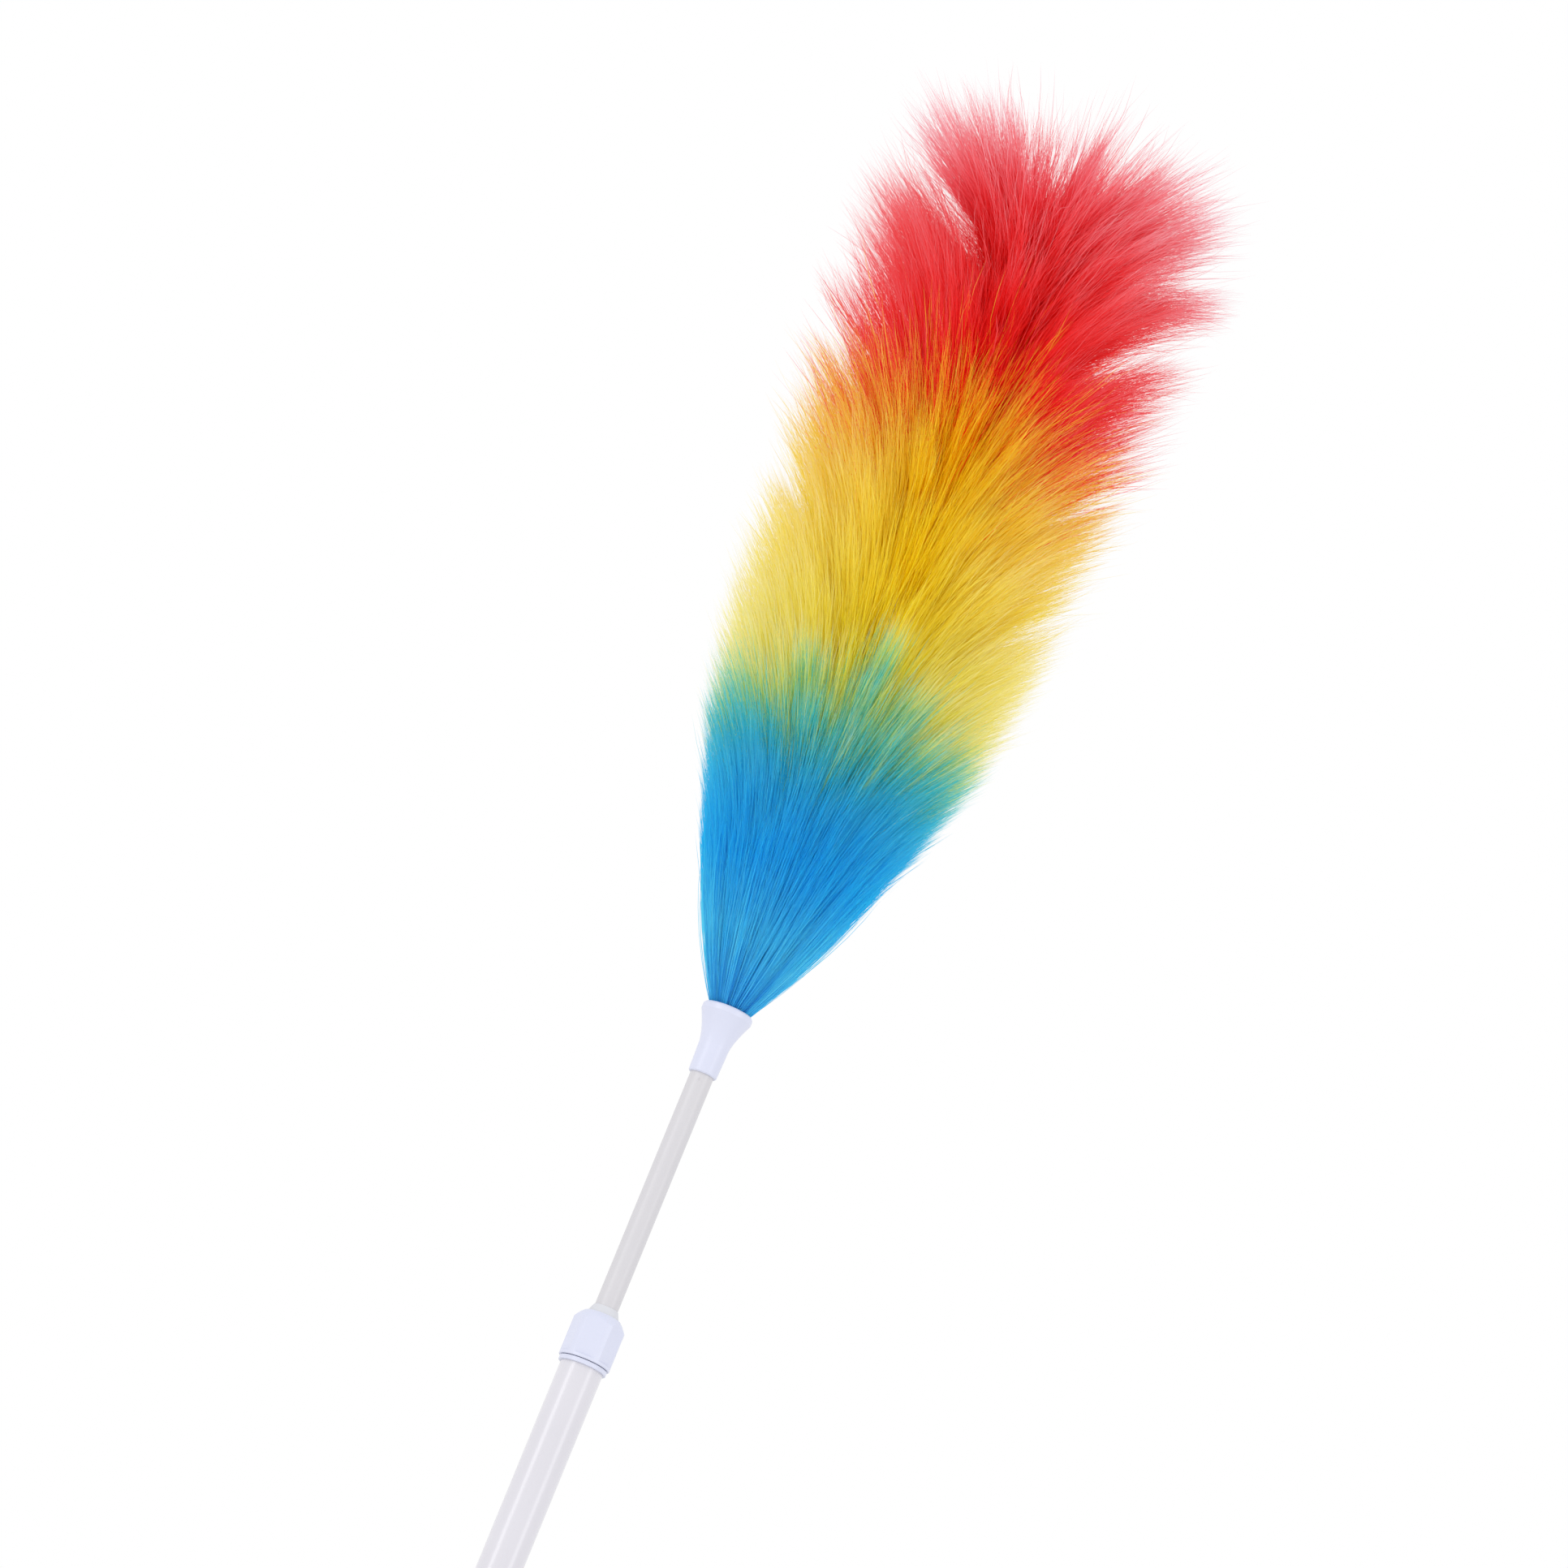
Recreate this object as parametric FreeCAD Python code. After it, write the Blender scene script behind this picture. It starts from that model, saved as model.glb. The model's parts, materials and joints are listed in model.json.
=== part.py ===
"""Telescopic feather duster: a steel pole in two sections, a twist lock, and a head of twisted-in fibres.

Row frame, in millimetres: +Z runs up the pole towards the head, and the origin is on the pole's axis at the
middle of the grip's plain band, where a hand or a tool clip holds it. -Y is the front.
"""

import FreeCAD, Part
import math
import os

from FreeCAD import Vector

# Driving dimensions: pole
TUBE_R, TUBE_WALL = 11.0, 0.6  # outer tube, 22 mm across
INNER_R, INNER_WALL = 6.0, 0.6  # inner tube, 12 mm across
TIGHT = 0.02  # radial gap of pieces pressed together
RUNNING = 0.1  # radial gap of pieces that slide or turn on each other
BITE = 0.05  # how far a fused feature sinks into the body that carries it

# Driving dimensions: grip and hang cap
GRIP_R, GRIP_LENGTH, GRIP_BAND = 13.5, 120.0, 44.0
GROOVE_PITCH, GROOVE_R, GROOVE_DEPTH = 7.0, 3.0, 0.8
CAP_FLANGE_R, CAP_FLANGE, CAP_PLUG = 12.8, 4.0, 20.0
EYE_THICK, EYE_R, EYE_DROP, HANG_HOLE_R = 5.0, 9.0, 11.0, 4.0

# Driving dimensions: twist lock, with heights above the lock body's flange
LOCK_Z = 658.9  # top face of the flange
FLANGE_R, FLANGE = 12.4, 2.4
SPIGOT = 28.0
THREAD_PITCH, THREAD_CORE_R, THREAD_DEPTH = 3.0, 9.0, 0.75
THREAD_LOW, THREAD_LENGTH = 2.2, 10.5
LOCK_TOP = 16.0
SEAT_LOW, SEAT_LOW_R, SEAT_TOP_R = 4.5, 7.0, 8.3
COLLET_LOW, SHOULDER_LOW, SHOULDER_TOP, SKIRT_LOW, SKIRT_TOP = 5.3, 16.7, 19.0, 25.5, 29.7
COLLET_SLOTS, SLOT_WIDTH, SLOT_TOP = 4, 1.0, 22.0
NUT_LOW, NUT_TOP, NUT_R, NUT_FLAT_R, NUT_SIDES = 0.25, 25.3, 13.25, 12.15, 6
NUT_CAVITY_R, NUT_BORE_R, NUT_ROOF = 10.1, 7.25, 19.15

# Driving dimensions: inner tube, ferrule and head
FERRULE_Z, FERRULE = 815.0, 35.0  # its lower end as drawn, and its length
SOCKET = 16.0
RIM_R, NECK_R = 13.0, 7.3
INNER_LOW = 95.0
BUSH, BUSH_R = 14.0, 10.25
WIRE_R, WIRE_PITCH, WIRE_LENGTH = 1.1, 20.0, 452.0
CORE_R = 2 * WIRE_R + 0.15  # hole that clears the twisted pair
TIP_R, TIP_LENGTH = 4.0, 13.0
FIBRE_OUTLINE = [  # height above the ferrule's rim, and radius
    (0, 11.1),
    (20, 23),
    (60, 42),
    (110, 60),
    (170, 76),
    (250, 84),
    (340, 88),
    (410, 91),
    (455, 83),
    (480, 54),
    (488, 0),
]
BAND_TOPS = {"fibres_blue": 161.0, "fibres_yellow": 321.0, "fibres_red": 488.0}
BAND_GAP = 0.4
FIBRE_BORE = CORE_R + 0.25

RIM_Z = FERRULE_Z + FERRULE
GRIP_LOW = -GRIP_LENGTH / 2
OUT = "parts"


def cylinder(radius, low, high):
    """A round bar on the pole's axis."""
    return Part.makeCylinder(radius, high - low, Vector(0, 0, low))


def cone(r_low, r_high, low, high):
    """A cone frustum on the pole's axis."""
    return Part.makeCone(r_low, r_high, high - low, Vector(0, 0, low))


def ring(r_out, r_in, low, high):
    """A plain ring on the pole's axis."""
    return cylinder(r_out, low, high).cut(cylinder(r_in, low - 1, high + 1))


def turned(points):
    """The solid that a closed outline of (radius, height) corners makes when turned about the axis."""
    corners = [Vector(r, 0, z) for r, z in points]
    face = Part.Face(Part.makePolygon(corners + corners[:1]))
    return face.revolve(Vector(0, 0, 0), Vector(0, 0, 1), 360)


def spun(points, high, low):
    """A solid turned from a smooth curve through (radius, height) points, closed to the axis above and below."""
    curve = Part.BSplineCurve()
    curve.interpolate([Vector(r, 0, z) for r, z in points])
    ends = [Vector(0, 0, high), Vector(0, 0, low)]
    first, last = curve.StartPoint, curve.EndPoint
    edges = [curve.toShape()]
    for a, b in ((last, ends[0]), (ends[0], ends[1]), (ends[1], first)):
        if a.distanceToPoint(b) > 1e-6:
            edges.append(Part.makeLine(a, b))
    face = Part.Face(Part.Wire(Part.__sortEdges__(edges)))
    return face.revolve(Vector(0, 0, 0), Vector(0, 0, 1), 360)


def softened(shape, radius, wanted):
    """The shape with its edges rounded where wanted(edge) says so."""
    edges = [e for e in shape.Edges if wanted(e)]
    return shape.makeFillet(radius, edges) if edges else shape


def at_rim(edge, radius, z):
    """True for a circular edge about the axis with that radius and height."""
    box = edge.BoundBox
    return abs(box.ZMin - z) < 0.01 and abs(box.ZMax - z) < 0.01 and abs(box.XMax - radius) < 0.05


def helical_ridge(r_base, r_crest, low, length):
    """A trapezoid ridge wound on a cylinder, right-handed, for a moulded thread."""
    base_half, crest_half = 0.75, 0.3
    helix = Part.makeHelix(THREAD_PITCH, length, r_base)
    profile = [
        Vector(r_base, 0, -base_half),
        Vector(r_crest, 0, -crest_half),
        Vector(r_crest, 0, crest_half),
        Vector(r_base, 0, base_half),
    ]
    sweep = Part.BRepOffsetAPI.MakePipeShell(helix)
    sweep.setBiNormalMode(Vector(0, 0, 1))
    sweep.add(Part.makePolygon(profile + profile[:1]))
    sweep.build()
    sweep.makeSolid()
    ridge = sweep.shape()
    ridge.translate(Vector(0, 0, low))
    return ridge


def outer_tube():
    """The lower, wider steel tube, from the cap's flange to the lock body's flange."""
    return ring(TUBE_R, TUBE_R - TUBE_WALL, GRIP_LOW, LOCK_Z - FLANGE)


def hand_grip():
    """A moulded sleeve with finger grooves above and below a plain band."""
    low, high = GRIP_LOW, -GRIP_LOW
    body = cylinder(GRIP_R, low, high - 6).fuse(cone(GRIP_R, TUBE_R + 0.9, high - 6, high))
    groove_half = math.sqrt(GROOVE_R**2 - (GROOVE_R - GROOVE_DEPTH) ** 2)
    first = GRIP_BAND / 2 + groove_half
    count = int((GRIP_LENGTH / 2 - 10 - first) // GROOVE_PITCH) + 1
    for side in (-1, 1):
        for i in range(count):
            middle = side * (first + i * GROOVE_PITCH)
            ring_r = GRIP_R + GROOVE_R - GROOVE_DEPTH
            body = body.cut(Part.makeTorus(ring_r, GROOVE_R, Vector(0, 0, middle)))
    return body.cut(cylinder(TUBE_R + TIGHT, low - 1, high + 1))


def hang_cap():
    """The plug in the pole's lower end, with a flat eye for a hook."""
    plug_r = TUBE_R - TUBE_WALL - TIGHT
    plug = ring(plug_r, plug_r - 2.2, GRIP_LOW, GRIP_LOW + CAP_PLUG)
    flange = cylinder(CAP_FLANGE_R, GRIP_LOW - CAP_FLANGE, GRIP_LOW)
    flange = softened(flange, 1.2, lambda e: at_rim(e, CAP_FLANGE_R, GRIP_LOW - CAP_FLANGE))
    eye_z = GRIP_LOW - CAP_FLANGE - EYE_DROP
    along_y = Vector(0, 1, 0)
    back = Vector(0, -EYE_THICK / 2, eye_z)
    disc = Part.makeCylinder(EYE_R, EYE_THICK, back, along_y)
    web = Part.makeBox(
        2 * EYE_R, EYE_THICK, EYE_DROP + 1, Vector(-EYE_R, -EYE_THICK / 2, eye_z)
    )
    hole = Part.makeCylinder(HANG_HOLE_R, EYE_THICK + 2, back - along_y, along_y)
    eye = disc.fuse(web).removeSplitter()
    flat_sides = [
        e
        for e in eye.Edges
        if abs(abs(e.BoundBox.YMin) - EYE_THICK / 2) < 0.01
        and e.BoundBox.YLength < 0.01
        and e.BoundBox.ZMin < eye_z + EYE_DROP
    ]
    eye = eye.makeFillet(0.8, flat_sides)
    return plug.fuse(flange).fuse(eye).cut(hole).removeSplitter()


def lock_body():
    """The socket pressed into the pole's top: spigot, flange, coarse thread and a conical seat."""
    spigot_r = TUBE_R - TUBE_WALL - TIGHT
    flange_low = LOCK_Z - FLANGE
    outside = cylinder(spigot_r, flange_low - SPIGOT, flange_low)
    flange = cylinder(FLANGE_R, flange_low, LOCK_Z)
    flange = softened(
        flange, 0.35, lambda e: at_rim(e, FLANGE_R, flange_low) or at_rim(e, FLANGE_R, LOCK_Z)
    )
    outside = outside.fuse(flange).fuse(cylinder(THREAD_CORE_R, LOCK_Z, LOCK_Z + LOCK_TOP))
    ridge_r = THREAD_CORE_R - BITE
    ridge = helical_ridge(ridge_r, THREAD_CORE_R + THREAD_DEPTH, LOCK_Z + THREAD_LOW, THREAD_LENGTH)
    outside = outside.fuse(ridge)
    bore = cylinder(INNER_R + 1.5 * RUNNING, flange_low - SPIGOT - 1, LOCK_Z + SEAT_LOW + 0.1)
    seat = cone(SEAT_LOW_R, SEAT_TOP_R, LOCK_Z + SEAT_LOW, LOCK_Z + LOCK_TOP)
    mouth = cylinder(SEAT_TOP_R, LOCK_Z + LOCK_TOP, LOCK_Z + LOCK_TOP + 1)
    return outside.cut(bore.fuse(seat).fuse(mouth))


def collet():
    """The slotted sleeve that grips the inner tube, with a shoulder for the nut and a tapered skirt on top."""
    clear = 0.15
    outline = [
        (INNER_R + RUNNING, COLLET_LOW),
        (SEAT_LOW_R - clear, COLLET_LOW),
        (SEAT_TOP_R - clear, LOCK_TOP),
        (SEAT_TOP_R - clear, SHOULDER_LOW),
        (THREAD_CORE_R, SHOULDER_LOW),
        (THREAD_CORE_R, SHOULDER_TOP),
        (NUT_BORE_R - 0.25, SHOULDER_TOP),
        (NUT_BORE_R - 0.25, SKIRT_LOW),
        (NUT_BORE_R + 1.0, SKIRT_LOW),
        (INNER_R + 0.4, SKIRT_TOP),
        (INNER_R + RUNNING, SKIRT_TOP),
    ]
    sleeve = turned([(r, LOCK_Z + z) for r, z in outline])
    for i in range(COLLET_SLOTS):
        slot = Part.makeBox(
            12,
            SLOT_WIDTH,
            SLOT_TOP - COLLET_LOW + 1,
            Vector(0, -SLOT_WIDTH / 2, LOCK_Z + COLLET_LOW - 1),
        )
        slot.rotate(Vector(0, 0, 0), Vector(0, 0, 1), 45 + i * 360 / COLLET_SLOTS)
        sleeve = sleeve.cut(slot)
    return sleeve


def lock_nut():
    """The twist collar: a round nut with shallow flats, chamfered above, threaded inside."""
    outline = [
        (0, NUT_LOW),
        (NUT_R - 0.3, NUT_LOW),
        (NUT_R, NUT_LOW + 0.3),
        (NUT_R, NUT_LOW + 20.4),
        (11.9, NUT_LOW + 22.3),
        (10.9, NUT_LOW + 23.6),
        (9.4, NUT_TOP),
        (0, NUT_TOP),
    ]
    body = turned([(r, LOCK_Z + z) for r, z in outline])
    side = 2 * NUT_R
    first_face = 262.0  # a flat faces the front, a little to the left
    for i in range(NUT_SIDES):
        # Each flat stops above the nut's foot, which stays round.
        block = Part.makeBox(
            side, side, NUT_TOP, Vector(NUT_FLAT_R, -side / 2, LOCK_Z + NUT_LOW + 1.6)
        )
        block.rotate(Vector(0, 0, 0), Vector(0, 0, 1), first_face + i * 360 / NUT_SIDES)
        body = body.cut(block)
    cavity = cylinder(NUT_CAVITY_R, LOCK_Z + NUT_LOW - 1, LOCK_Z + NUT_ROOF)
    bore = cylinder(NUT_BORE_R, LOCK_Z, LOCK_Z + NUT_TOP + 1)
    body = body.cut(cavity.fuse(bore))
    ridge_low = LOCK_Z + THREAD_LOW + THREAD_PITCH / 2
    ridge = helical_ridge(NUT_CAVITY_R + BITE, NUT_CAVITY_R - THREAD_DEPTH, ridge_low, THREAD_LENGTH)
    return body.fuse(ridge)


def inner_tube():
    """The upper, thinner steel tube, with a clip groove near its lower end and a locating dimple near its top."""
    tube = ring(INNER_R, INNER_R - INNER_WALL, INNER_LOW, FERRULE_Z + SOCKET)
    clip_low = INNER_LOW + BUSH + 0.6
    tube = tube.cut(ring(INNER_R + 1, INNER_R - 0.3, clip_low, clip_low + 1.6))
    for side in (-1, 1):
        # Two punch marks, front and back, hold the wire's anchor in the tube.
        centre = Vector(0.6 * side, side * (INNER_R + 0.75), FERRULE_Z - 3.7)
        tube = tube.cut(Part.makeSphere(1.1, centre))
    return tube


def rear_bush():
    """The plastic guide on the inner tube's lower end, which runs in the outer tube's bore."""
    low = INNER_LOW + 0.3
    bush = ring(BUSH_R, INNER_R + RUNNING, low, low + BUSH)
    waist = ring(BUSH_R + 1, BUSH_R - 1.2, low + 4, low + BUSH - 4)
    return bush.cut(waist)


def stop_ring():
    """The snap ring in the inner tube's groove, which keeps the bush down and stops the pole coming apart."""
    low = INNER_LOW + BUSH + 0.7
    clip = ring(INNER_R + 1.8, INNER_R - 0.28, low, low + 1.4)
    gap = Part.makeBox(12, 3.0, 3, Vector(0, -1.5, low - 0.5))
    return clip.cut(gap)


def inner_end_plug():
    """The plug in the inner tube's lower end; its head holds the bush from below."""
    head = cylinder(INNER_R + 2.0, INNER_LOW - 3, INNER_LOW)
    head = softened(head, 0.8, lambda e: at_rim(e, INNER_R + 2.0, INNER_LOW - 3))
    return head.fuse(cylinder(INNER_R - INNER_WALL - TIGHT, INNER_LOW, INNER_LOW + 12))


def ferrule_side(z):
    """The ferrule's outer radius at height z above its lower end: a slight taper, then a trumpet flare."""
    neck_top, flare_top = 15.5, 31.6
    neck_top_r = NECK_R + 0.45
    if z <= neck_top:
        return NECK_R + 0.45 * z / neck_top
    share = (z - neck_top) / (flare_top - neck_top)
    return neck_top_r + (RIM_R - neck_top_r) * share ** 1.45


def ferrule():
    """The trumpet-shaped socket that joins the head to the inner tube."""
    flare = [(ferrule_side(z), FERRULE_Z + z) for z in (15.5, 19.5, 23.5, 27.5, 31.6)]
    curve = Part.BSplineCurve()
    curve.interpolate([Vector(r, 0, z) for r, z in flare])
    corners = [
        (RIM_R, RIM_Z - 0.9),
        (RIM_R - 0.7, RIM_Z),
        (0, RIM_Z),
        (0, FERRULE_Z),
        (NECK_R - 0.5, FERRULE_Z),
        (NECK_R, FERRULE_Z + 0.6),
        flare[0],
    ]
    edges = [curve.toShape()]
    last = curve.EndPoint
    for r, z in corners:
        edges.append(Part.makeLine(last, Vector(r, 0, z)))
        last = Vector(r, 0, z)
    face = Part.Face(Part.Wire(edges))
    body = face.revolve(Vector(0, 0, 0), Vector(0, 0, 1), 360)
    socket = cylinder(INNER_R + TIGHT, FERRULE_Z - 1, FERRULE_Z + SOCKET + TIGHT)
    throat = cylinder(5.0, FERRULE_Z + SOCKET, FERRULE_Z + SOCKET + 4)
    cup = cone(5.0, RIM_R - 1.6, FERRULE_Z + SOCKET + 3, RIM_Z + 0.01)
    return body.cut(socket.fuse(throat).fuse(cup))


def wire_anchor():
    """The plug that holds the twisted wire in the top of the inner tube."""
    top = FERRULE_Z + SOCKET
    plug = ring(INNER_R - INNER_WALL - TIGHT, CORE_R, top - 32, top)
    return plug.fuse(ring(4.9, CORE_R, top, top + 2.5))


def core_wire(start_angle):
    """One leg of the twisted wire that runs up the head."""
    low = FERRULE_Z + SOCKET - 28
    radius = WIRE_R + 0.03
    helix = Part.makeHelix(WIRE_PITCH, WIRE_LENGTH, radius)
    lead = Vector(0, 2 * math.pi * radius, WIRE_PITCH)
    section = Part.Wire(Part.makeCircle(WIRE_R, Vector(radius, 0, 0), lead))
    sweep = Part.BRepOffsetAPI.MakePipeShell(helix)
    sweep.setFrenetMode(True)
    sweep.add(section)
    sweep.build()
    sweep.makeSolid()
    wire = sweep.shape()
    wire.rotate(Vector(0, 0, 0), Vector(0, 0, 1), start_angle)
    wire.translate(Vector(0, 0, low))
    return wire


WIRE_TOP = FERRULE_Z + SOCKET - 28 + WIRE_LENGTH


def tip_cap():
    """The rounded cap crimped over the wire's upper end."""
    low = WIRE_TOP - TIP_LENGTH + 4
    cap = cylinder(TIP_R, low, low + TIP_LENGTH)
    cap = softened(cap, 2.2, lambda e: at_rim(e, TIP_R, low + TIP_LENGTH))
    return cap.cut(cylinder(CORE_R, low - 1, WIRE_TOP + 0.5))


def fibre_mass():
    """The whole head as one soft solid, from inside the ferrule's cup to the tip."""
    outline = [(r, RIM_Z + z) for z, r in FIBRE_OUTLINE]
    top = outline[-1][1]
    body = spun(outline, top, RIM_Z)
    root_low = FERRULE_Z + SOCKET + 5
    root = cone(5.2, FIBRE_OUTLINE[0][1], root_low, RIM_Z)
    body = body.fuse(root)
    tip_low = WIRE_TOP - TIP_LENGTH + 4
    hole = cylinder(FIBRE_BORE, root_low - 1, tip_low)
    hole = hole.fuse(cylinder(TIP_R + 0.3, tip_low - 0.3, tip_low + TIP_LENGTH + 0.3))
    return body.cut(hole)


def fibre_bands():
    """The head cut into its three colour bands, which stay a little apart."""
    whole = fibre_mass()
    low = FERRULE_Z
    bands = {}
    for name, top in BAND_TOPS.items():
        high = RIM_Z + top
        slab = cylinder(200, low + BAND_GAP / 2, high - BAND_GAP / 2)
        bands[name] = whole.common(slab if name != "fibres_red" else cylinder(200, low, high + 5))
        low = high
    return bands


PIECES = {
    "outer_tube": outer_tube,
    "hand_grip": hand_grip,
    "hang_cap": hang_cap,
    "lock_body": lock_body,
    "collet": collet,
    "lock_nut": lock_nut,
    "rear_bush": rear_bush,
    "stop_ring": stop_ring,
    "inner_end_plug": inner_end_plug,
    "inner_tube": inner_tube,
    "ferrule": ferrule,
    "wire_anchor": wire_anchor,
    "core_wire_a": lambda: core_wire(0),
    "core_wire_b": lambda: core_wire(180),
    "tip_cap": tip_cap,
}


def save(name, shape):
    """Writes one node, and says how it came out."""
    solids = shape.Solids
    assert solids and all(s.isValid() for s in solids), name
    whole = solids[0] if len(solids) == 1 else Part.makeCompound(solids)
    whole.exportStep(os.path.join(OUT, name + ".step"))
    print(f"{name:16s} solids {len(solids)}  volume {shape.Volume / 1000:9.3f} cm3")


os.makedirs(OUT, exist_ok=True)
for piece_name, make in PIECES.items():
    save(piece_name, make())
for band_name, band in fibre_bands().items():
    save(band_name, band)
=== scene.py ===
"""The looks of the telescopic feather duster: its fibres, and the finish of its tubes and fittings.

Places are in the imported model's own frame: +Z up the pole, -Y to the front. The fibres are worked out in
millimetres and degrees, and their meshes are in metres like everything else.
"""

import json
import math
from collections import namedtuple

import bpy
import numpy as np
from mathutils import Matrix, Vector


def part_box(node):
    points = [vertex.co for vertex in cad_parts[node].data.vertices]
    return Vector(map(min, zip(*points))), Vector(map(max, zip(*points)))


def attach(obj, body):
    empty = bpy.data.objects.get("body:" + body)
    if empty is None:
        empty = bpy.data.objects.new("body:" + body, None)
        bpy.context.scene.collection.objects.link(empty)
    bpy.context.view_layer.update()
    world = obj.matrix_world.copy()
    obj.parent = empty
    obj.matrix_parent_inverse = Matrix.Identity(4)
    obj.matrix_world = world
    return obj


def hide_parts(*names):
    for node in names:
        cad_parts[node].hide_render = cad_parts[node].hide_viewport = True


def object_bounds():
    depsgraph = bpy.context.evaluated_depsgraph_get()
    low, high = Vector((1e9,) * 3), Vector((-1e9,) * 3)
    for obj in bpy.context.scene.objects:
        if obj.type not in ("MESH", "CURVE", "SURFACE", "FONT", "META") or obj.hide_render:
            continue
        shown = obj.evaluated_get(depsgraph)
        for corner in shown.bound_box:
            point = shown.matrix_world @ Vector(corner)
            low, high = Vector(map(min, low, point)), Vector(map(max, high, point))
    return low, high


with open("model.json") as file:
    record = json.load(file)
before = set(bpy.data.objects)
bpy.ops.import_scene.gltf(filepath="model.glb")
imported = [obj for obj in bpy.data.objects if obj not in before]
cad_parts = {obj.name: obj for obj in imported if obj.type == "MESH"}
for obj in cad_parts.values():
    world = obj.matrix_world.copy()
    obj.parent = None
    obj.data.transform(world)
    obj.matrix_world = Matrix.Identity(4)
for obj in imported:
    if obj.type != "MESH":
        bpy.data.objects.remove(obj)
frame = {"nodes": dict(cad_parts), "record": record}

CAD_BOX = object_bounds()
MM = 0.001
SEED = 7

# ---------------------------------------------------------------- the fibre head, in mm and degrees

RIM_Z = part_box("ferrule")[1].z / MM  # heights below are measured from the ferrule's rim
LOWEST_ROOT, WIRE_TOP = -14, 404  # the fibres are rooted between these heights
HEAD_OUTLINE = [  # height, and the radius that the resting fibres reach
    (-6, 7),
    (0, 10),
    (12, 16),
    (35, 26),
    (60, 36.5),
    (90, 49.5),
    (120, 62),
    (150, 74.5),
    (185, 83),
    (220, 87),
    (280, 90),
    (340, 94),
    (400, 98),
    (430, 98),
    (455, 94),
    (475, 88),
    (540, 70),
]
HELD_BELOW = 240  # fibres rooted lower than this end near the outline at most
WIDEST, WIDEST_TIP = 105, 103  # as far as a fibre may reach from the axis, and its tip before the waves

FIBRE_COUNT = 190_000
CLUMP = 8  # fibres that lie together
TUFTS, FAN_TUFTS = 320, 42
TUFT_SPREAD = 7
GOLDEN_ANGLE = 137.508  # the turn from one tuft to the next
FIBRE_WIDTH, UNEVEN_WIDTH, NARROWING = 0.3, 0.35, 0.6
SEGMENTS = 7  # straight stretches in one fibre
MAX_FACES = 190_000  # triangles in one piece

# How the fibres change with the height of their roots.
SPREAD_AT = (0, 140, 330, 404)
LONGEST = (114, 123, 126, 108)
SHORTEST = (0.76, 0.58, 0.36, 0.2)  # as a share of the longest
MIDDLING = (0.86, 0.8, 0.58, 0.44)
LONG_SHARE = (0.55, 0.6, 0.37, 0.24)  # the share of fibres between the middling and the longest
LOOSE = (0.85, 0.82, 0.5, 0.45)  # the share that belongs to no tuft
WAVE = (0.4, 1.2, 2.2, 2.6)
CLUMP_SPREAD = (2.2, 2.2, 0.9, 0.9)

# Over the wire's end the fibres fan out.
FAN_DEPTH = 14  # their roots are this near to the end
FAN_TILT = 57
FAN_LENGTH = (91, 122)  # straight up, and at that slant

# A few fibres stray from their clumps.
STRAYS, STRAYS_ABOVE = 0.01, 200
STRAY_TILT, STRAY_WAVE = 8, 2.4
STRAY_LENGTH = (0.9, 1.05)  # as a share of the longest

# The roots' distance from the axis. Below the rim the fibres fill the ferrule, which narrows downwards.
INNERMOST_ROOT, BUNDLE = 0.8, 2.2
FERRULE_BUNDLE, FERRULE_SLOPE = 8.7, 0.45

# How uneven things are, as standard deviations. A pair is for the lowest roots, and what the highest add.
TUFT_TURN, FAN_TURN = 12, 8
TUFT_TILT = (0.8, 4.5)
TUFT_LENGTH = (0.01, 0.04)  # as a share, like the next two
FAN_UNEVEN_LENGTH = 0.05
FIBRE_LENGTH = 0.03
CLUMP_HEIGHT, FIBRE_HEIGHT = 3, 1.5
CLUMP_TILT = 0.55  # for each degree of the tuft's spread
LOOSE_TILT = 3
SWING = 6  # how far a clump's tips bend aside

# A fibre sets out at this share of its slant, and one that is held in ends at this share of the outline's
# radius, each with its unevenness.
SETTING_OUT, UNEVEN_START = 0.98, (0.03, 0.06)
OUTLINE_SHARE, UNEVEN_OUTLINE = 0.99, 0.035
FULL_UNEVENNESS_AT = 150

# The fibres lie closer together near the ferrule, and steep ones spread further round the axis.
TIGHTEST, LOOSENING_HEIGHT = 0.25, 200
STEEPEST = 14  # ones steeper than this spread no further

# The dye changes at these heights of the roots. At the folds the yellow dips into the blue and rises into
# the red.
BLUE_TOP, YELLOW_TOP = 87, 234
FOLDS = (0, 128, 236)
FOLD_WIDTH = 34
BLUE_DIP, YELLOW_RISE = 13, 46
UNEVEN_DYE = (9, 17)  # at the first change and at the second
MISPLACED, MISPLACED_BY = 0.08, 24  # a few fibres are dyed as if rooted about this much higher or lower

# In the middle of a fold the fibres are shorter, and their ends pale less, in dye and in painted glow, by the
# height of their roots.
SHORT_AT = (60, 85, 125, 160, 240, 300)
SHORT_IN_FOLD = (0, 0.12, 0.12, 0.1, 0.1, 0.2)
SHORT_CLOSENESS = 4  # a higher power keeps it nearer to the middle
EVEN_AT = (90, 130, 240, 330)
EVEN_IN_FOLD = (0, 0.42, 0.42, 0)
EVEN_CLOSENESS = 3

STANDING_LONG_SHARE = 0.6
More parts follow.
